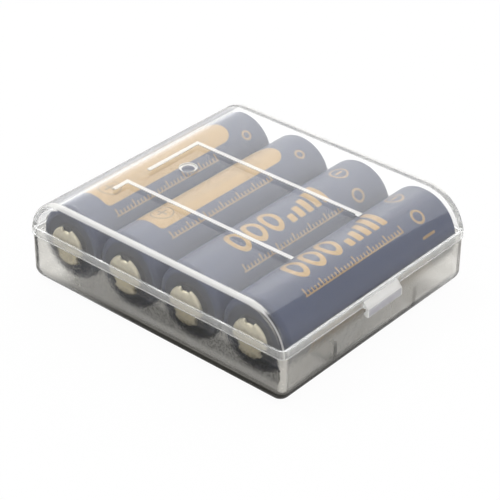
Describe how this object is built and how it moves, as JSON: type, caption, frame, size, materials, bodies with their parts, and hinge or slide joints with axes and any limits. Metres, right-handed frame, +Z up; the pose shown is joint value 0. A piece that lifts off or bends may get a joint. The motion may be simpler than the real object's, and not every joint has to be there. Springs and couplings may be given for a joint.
{
  "type": "battery storage case",
  "caption": "Clear hinged-lid plastic case with a frosted tray, saddle ribs and a snap latch, holding a row of cylindrical rechargeable cells",
  "frame": {"origin": "Middle of the tray's flat underside, on the surface that the case rests on.", "axes": "+X runs along the cells from their positive to their negative ends, +Y points from the latch at the front to the hinge at the back, +Z points up through the lid."},
  "size_m": [0.0526, 0.0658, 0.0187],
  "materials": {
    "tray_plastic": "frosted natural polypropylene, satin",
    "lid_plastic": "clear moulded plastic, glossy with a faint haze",
    "can_metal": "nickel-plated drawn metal, satin",
    "disc_metal": "thin pressed foil disc, satin",
    "cap_nickel": "nickel-plated pressed cap, softly polished",
    "washer_card": "dark punched fibre ring, matt",
    "sleeve_film": "dark navy shrink film with gold print, glossy"
  },
  "bodies": {
    "tray": {"tray": "tray_plastic"},
    "lid": {"lid": "lid_plastic"},
    "cell_1": {"cell_1_can": "can_metal", "cell_1_vent_disc": "disc_metal", "cell_1_cap": "cap_nickel", "cell_1_insulating_washer": "washer_card", "cell_1_sleeve": "sleeve_film"},
    "cell_2": {"cell_2_can": "can_metal", "cell_2_vent_disc": "disc_metal", "cell_2_cap": "cap_nickel", "cell_2_insulating_washer": "washer_card", "cell_2_sleeve": "sleeve_film"},
    "cell_3": {"cell_3_can": "can_metal", "cell_3_vent_disc": "disc_metal", "cell_3_cap": "cap_nickel", "cell_3_insulating_washer": "washer_card", "cell_3_sleeve": "sleeve_film"},
    "cell_4": {"cell_4_can": "can_metal", "cell_4_vent_disc": "disc_metal", "cell_4_cap": "cap_nickel", "cell_4_insulating_washer": "washer_card", "cell_4_sleeve": "sleeve_film"}
  },
  "joints": [
    {"name": "lid_hinge", "type": "hinge", "parent": "tray", "child": "lid", "pos_m": [0, 0.0324, 0.00965], "axis": [-1, 0, 0], "range_deg": [0, 180]},
    {"name": "cell_1_spin", "type": "hinge", "parent": "tray", "child": "cell_1", "pos_m": [0, 0.02205, 0.0098], "axis": [1, 0, 0], "continuous": true},
    {"name": "cell_2_spin", "type": "hinge", "parent": "tray", "child": "cell_2", "pos_m": [0, 0.00735, 0.0098], "axis": [1, 0, 0], "continuous": true},
    {"name": "cell_3_spin", "type": "hinge", "parent": "tray", "child": "cell_3", "pos_m": [0, -0.00735, 0.0098], "axis": [1, 0, 0], "continuous": true},
    {"name": "cell_4_spin", "type": "hinge", "parent": "tray", "child": "cell_4", "pos_m": [0, -0.02205, 0.0098], "axis": [1, 0, 0], "continuous": true}
  ]
}
